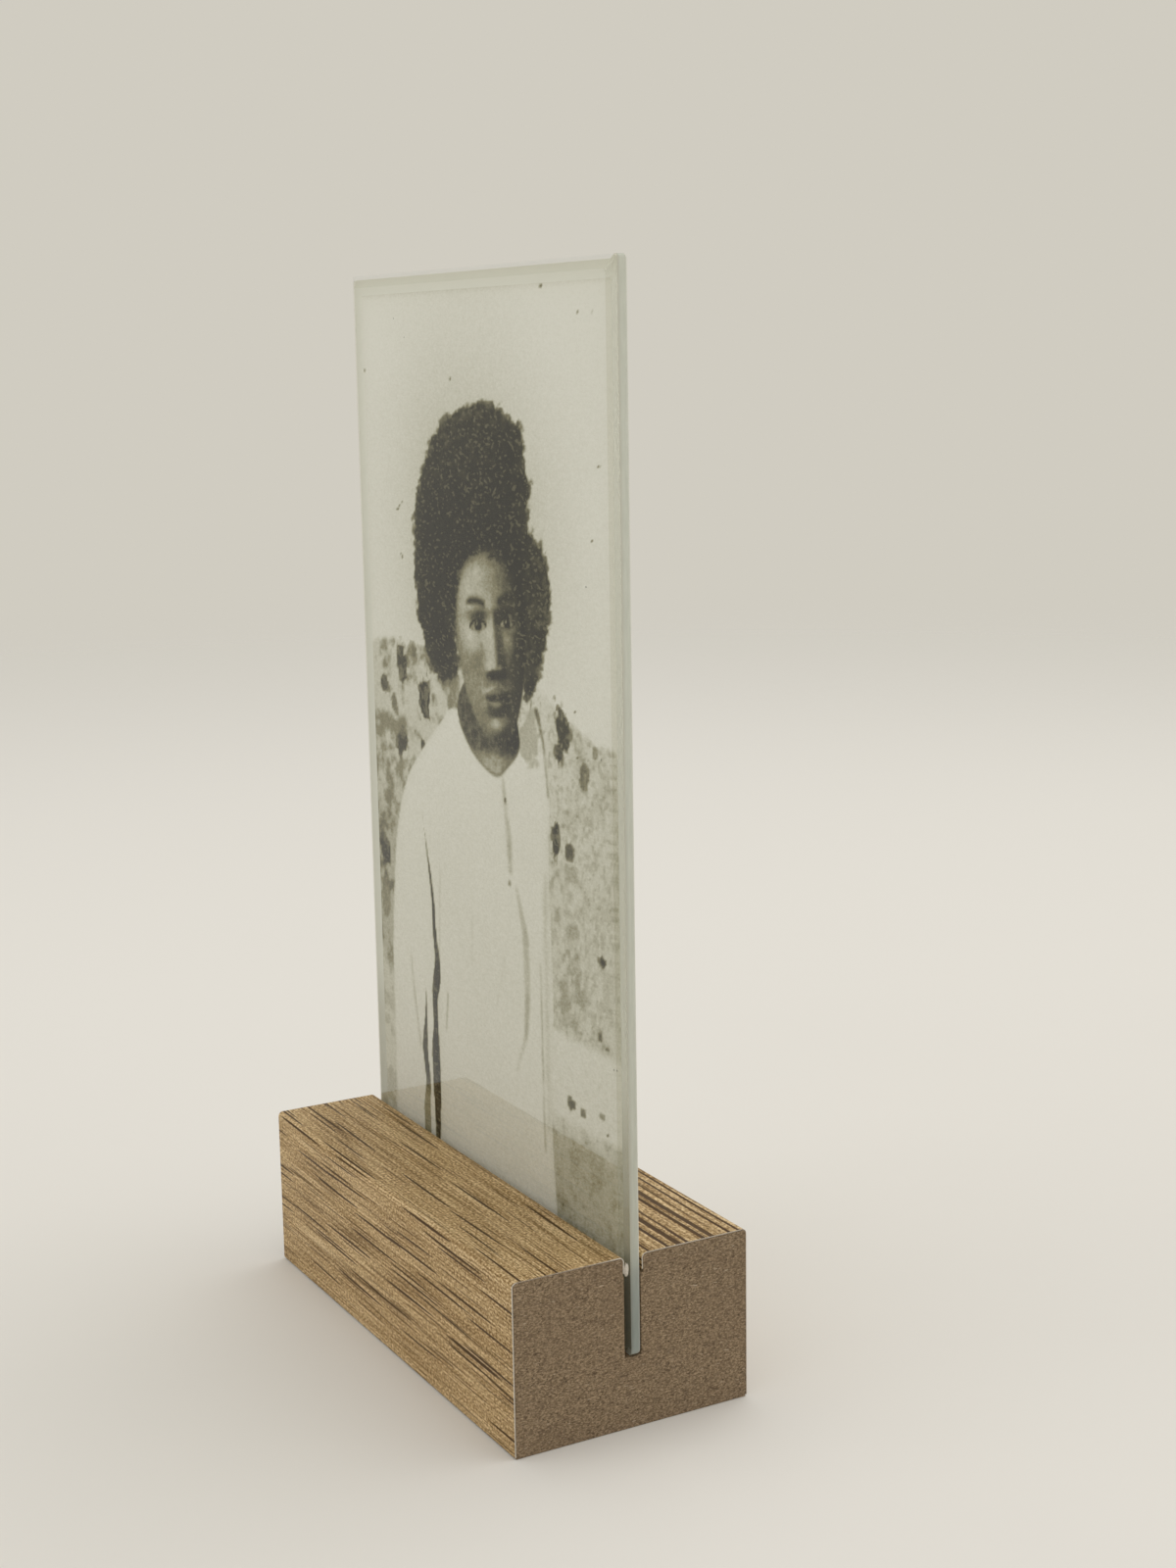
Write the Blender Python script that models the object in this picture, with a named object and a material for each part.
"""Glass photo plaque standing in a foil-wrapped wood-fibre base.

A block of wood fibreboard carries a decor foil on its front, top and rear. A shallow rebate along the
top is lined by the two foils, and a saw kerf goes on down from the rebate's floor. The glass plate
stands in that kerf. Its front has a narrow bevel all round, and the picture is printed on its rear face
behind the glass, with a white ink layer over it.

Frame: metres, +Z up, origin at the middle of the base's underside. +X runs along the base, and the
picture is looked at along +Y, so the front of the plaque faces -Y.
"""

import math

import bmesh
import bpy

# Base, as it measures outside with its foil on
BASE_LENGTH = 0.100
BASE_DEPTH = 0.0453
BASE_HEIGHT = 0.0307

# Decor foil and the glue line under it
FOIL_THICKNESS = 0.0002
GLUE_LINE = 0.00005
FOIL_HEM_HEIGHT = 0.0003
FOIL_END_GAP = 0.0002

# Edges of the fibreboard block under the foil
TOP_EDGE_RADIUS = 0.0007
LIP_RADIUS = 0.0007

# Rebate that the foils line, its walls counted from the kerf's middle, and the saw kerf under it
REBATE_FRONT_WALL = 0.00178
REBATE_REAR_WALL = 0.00210
REBATE_DEPTH = 0.0032
KERF_WIDTH = 0.0032
KERF_DEPTH = 0.0180

# Glass plate, bevelled in front and dubbed behind. It is as wide as the base is long, and stands a little
# past the base's end at +X
GLASS_HEIGHT = 0.1800
GLASS_THICKNESS = 0.0028
GLASS_BEVEL_WIDTH = 0.0022
GLASS_BEVEL_DEPTH = 0.0009
GLASS_ARRIS_RADIUS = 0.0005
GLASS_CORNER_RADIUS = 0.0008
GLASS_SEAT_GAP = 0.0003
GLASS_END_OVERHANG = 0.0004

# Ink layers on the rear of the glass
PRINT_INSET = 0.0036
PRINT_THICKNESS = 0.00004
BACKING_THICKNESS = 0.00006
FILM_GAP = 0.00002

# Facets of a quarter round
ARC_STEPS = 6

# Sizes that follow from those above
FOIL_BUILD_UP = FOIL_THICKNESS + GLUE_LINE
CORE_HALF_DEPTH = BASE_DEPTH / 2 - FOIL_BUILD_UP
CORE_TOP = BASE_HEIGHT - FOIL_BUILD_UP
REBATE_FLOOR = CORE_TOP - REBATE_DEPTH
KERF_FLOOR = BASE_HEIGHT - KERF_DEPTH
GLASS_WIDTH = BASE_LENGTH
PLATE_BOTTOM = KERF_FLOOR + GLASS_SEAT_GAP
PLATE_CENTRE_X = GLASS_END_OVERHANG
STACK_DEPTH = GLASS_THICKNESS + PRINT_THICKNESS + BACKING_THICKNESS + 2 * FILM_GAP
GLASS_REAR_Y = GLASS_THICKNESS - STACK_DEPTH / 2
PRINT_REAR_Y = GLASS_REAR_Y + FILM_GAP + PRINT_THICKNESS
BACKING_REAR_Y = PRINT_REAR_Y + FILM_GAP + BACKING_THICKNESS

# A profile is drawn in depth and height, and this turn lays its extrusion along the base
PROFILE_TURN = (math.pi / 2, 0, math.pi / 2)


def clear_scene():
    for obj in list(bpy.data.objects):
        bpy.data.objects.remove(obj, do_unlink=True)


def make_material(name, colour, roughness, metallic=0.0, transmission=0.0):
    material = bpy.data.materials.new(name)
    material.use_nodes = True
    shader = material.node_tree.nodes["Principled BSDF"]
    shader.inputs["Base Color"].default_value = (*colour, 1.0)
    shader.inputs["Roughness"].default_value = roughness
    shader.inputs["Metallic"].default_value = metallic
    shader.inputs["Transmission Weight"].default_value = transmission
    return material


def arc(centre, radius, start_deg, end_deg):
    """Points of an arc, both ends included."""
    points = []
    for step in range(ARC_STEPS + 1):
        angle = math.radians(start_deg + (end_deg - start_deg) * step / ARC_STEPS)
        points.append((centre[0] + radius * math.cos(angle), centre[1] + radius * math.sin(angle)))
    return points


def wrap(wall, offset, lowest, last):
    """Half the block's outside, raised by offset: from height lowest over the top to height last.

    It ends on the rebate's wall. It is drawn on the rear half, and mirrored() puts it on the front.
    """
    edge_centre = (CORE_HALF_DEPTH - TOP_EDGE_RADIUS, CORE_TOP - TOP_EDGE_RADIUS)
    lip_centre = (wall + LIP_RADIUS, CORE_TOP - LIP_RADIUS)
    return [
        (CORE_HALF_DEPTH + offset, lowest),
        *arc(edge_centre, TOP_EDGE_RADIUS + offset, 0, 90),
        *arc(lip_centre, LIP_RADIUS + offset, 90, 180),
        (wall - offset, last),
    ]


def mirrored(points):
    """The same outline on the front half, run the other way round."""
    return [(-depth, height) for depth, height in reversed(points)]


def core_half(wall):
    """Half the fibreboard block in depth and height, down to its kerf's floor."""
    half_kerf = KERF_WIDTH / 2
    return [*wrap(wall, 0.0, 0.0, REBATE_FLOOR), (half_kerf, REBATE_FLOOR), (half_kerf, KERF_FLOOR)]


def core_outline():
    """The fibreboard block with its rebate and kerf."""
    return core_half(REBATE_REAR_WALL) + mirrored(core_half(REBATE_FRONT_WALL))


def foil_outline(wall):
    """One foil: its decor face one way and its glued face back."""
    last = REBATE_FLOOR + FOIL_END_GAP
    decor = wrap(wall, FOIL_BUILD_UP, FOIL_HEM_HEIGHT, last)
    glued = wrap(wall, GLUE_LINE, FOIL_HEM_HEIGHT, last)
    return decor + glued[::-1]


def add_profile(name, outline, material, collection, parent):
    """An outline in depth and height, extruded along the whole base."""
    curve = bpy.data.curves.new(name, "CURVE")
    curve.dimensions = "2D"
    curve.fill_mode = "BOTH"
    curve.extrude = BASE_LENGTH / 2
    spline = curve.splines.new("POLY")
    spline.points.add(len(outline) - 1)
    for point, (depth, height) in zip(spline.points, outline):
        point.co = (depth, height, 0.0, 1.0)
    spline.use_cyclic_u = True
    curve.materials.append(material)
    obj = bpy.data.objects.new(name, curve)
    collection.objects.link(obj)
    obj.rotation_euler = PROFILE_TURN
    obj.parent = parent
    return obj


def add_box(name, size, centre, material, collection, parent):
    """A box of that size, its scale applied, at centre in its parent's frame."""
    bpy.ops.mesh.primitive_cube_add(size=1.0)
    obj = bpy.context.object
    obj.name = name
    obj.data.name = name
    obj.scale = size
    bpy.ops.object.transform_apply(location=False, rotation=False, scale=True)
    for owner in list(obj.users_collection):
        owner.objects.unlink(obj)
    collection.objects.link(obj)
    obj.data.materials.append(material)
    obj.location = centre
    obj.parent = parent
    return obj


def plate_edge():
    """The plate's edge, from the front face round to the rear face, as inset from its outline and depth."""
    half = GLASS_THICKNESS / 2
    arris_centre = (GLASS_ARRIS_RADIUS, half - GLASS_ARRIS_RADIUS)
    return [
        (GLASS_BEVEL_WIDTH, -half),
        (0.0, GLASS_BEVEL_DEPTH - half),
        *arc(arris_centre, GLASS_ARRIS_RADIUS, 180, 90),
    ]


def plate_outline(inset):
    """The plate's outline in width and height, drawn in by inset, with rounded corners."""
    half_width = GLASS_WIDTH / 2 - inset - GLASS_CORNER_RADIUS
    half_height = GLASS_HEIGHT / 2 - inset - GLASS_CORNER_RADIUS
    points = []
    for quarter, (side_x, side_z) in enumerate(((1, 1), (-1, 1), (-1, -1), (1, -1))):
        corner = (side_x * half_width, side_z * half_height)
        points += arc(corner, GLASS_CORNER_RADIUS, 90 * quarter, 90 * quarter + 90)
    return points


def add_plate(name, centre, material, collection, parent):
    """The glass plate: its outline at each step of its edge, joined up and closed in front and behind."""
    bm = bmesh.new()
    loops = []
    for inset, depth in plate_edge():
        loops.append([bm.verts.new((x, depth, z)) for x, z in plate_outline(inset)])
    count = len(loops[0])
    for near, far in zip(loops, loops[1:]):
        for index in range(count):
            after = (index + 1) % count
            bm.faces.new((near[index], near[after], far[after], far[index]))
    bm.faces.new(loops[0])
    bm.faces.new(loops[-1])
    bmesh.ops.recalc_face_normals(bm, faces=bm.faces)
    mesh = bpy.data.meshes.new(name)
    bm.to_mesh(mesh)
    bm.free()
    mesh.materials.append(material)
    obj = bpy.data.objects.new(name, mesh)
    collection.objects.link(obj)
    obj.location = centre
    obj.parent = parent
    return obj


def add_carrier(name, location, collection):
    """An empty that carries the pieces of one body."""
    empty = bpy.data.objects.new(name, None)
    empty.empty_display_size = BASE_HEIGHT / 2
    collection.objects.link(empty)
    empty.location = location
    return empty


def build_base(collection):
    """The fibreboard block and the two foils glued on it."""
    carrier = add_carrier("base_carrier", (0, 0, 0), collection)
    board = make_material("wood_fibreboard", (0.19, 0.13, 0.09), 0.9)
    decor = make_material("oak_decor_foil", (0.36, 0.22, 0.11), 0.55)
    add_profile("base_core", core_outline(), board, collection, carrier)
    add_profile("rear_foil", foil_outline(REBATE_REAR_WALL), decor, collection, carrier)
    add_profile("front_foil", mirrored(foil_outline(REBATE_FRONT_WALL)), decor, collection, carrier)


def build_plate(collection):
    """The glass plate and its ink layers, on a carrier at the middle of the plate's lower edge."""
    carrier = add_carrier("plate_carrier", (PLATE_CENTRE_X, 0, PLATE_BOTTOM), collection)
    middle = GLASS_HEIGHT / 2
    glass_centre = (0, GLASS_REAR_Y - GLASS_THICKNESS / 2, middle)
    clear = make_material("clear_glass", (0.86, 0.92, 0.88), 0.02, transmission=1.0)
    add_plate("glass_plate", glass_centre, clear, collection, carrier)

    film_width = GLASS_WIDTH - 2 * PRINT_INSET
    film_height = GLASS_HEIGHT - 2 * PRINT_INSET
    layers = (
        ("picture_print", PRINT_THICKNESS, PRINT_REAR_Y, (0.45, 0.45, 0.40)),
        ("white_backing", BACKING_THICKNESS, BACKING_REAR_Y, (0.80, 0.80, 0.76)),
    )
    for name, thickness, rear_y, colour in layers:
        ink = make_material(name + "_ink", colour, 0.6)
        size = (film_width, thickness, film_height)
        add_box(name, size, (0, rear_y - thickness / 2, middle), ink, collection, carrier)


def main():
    clear_scene()
    collection = bpy.data.collections.new("glass_photo_plaque")
    bpy.context.scene.collection.children.link(collection)
    build_base(collection)
    build_plate(collection)


main()
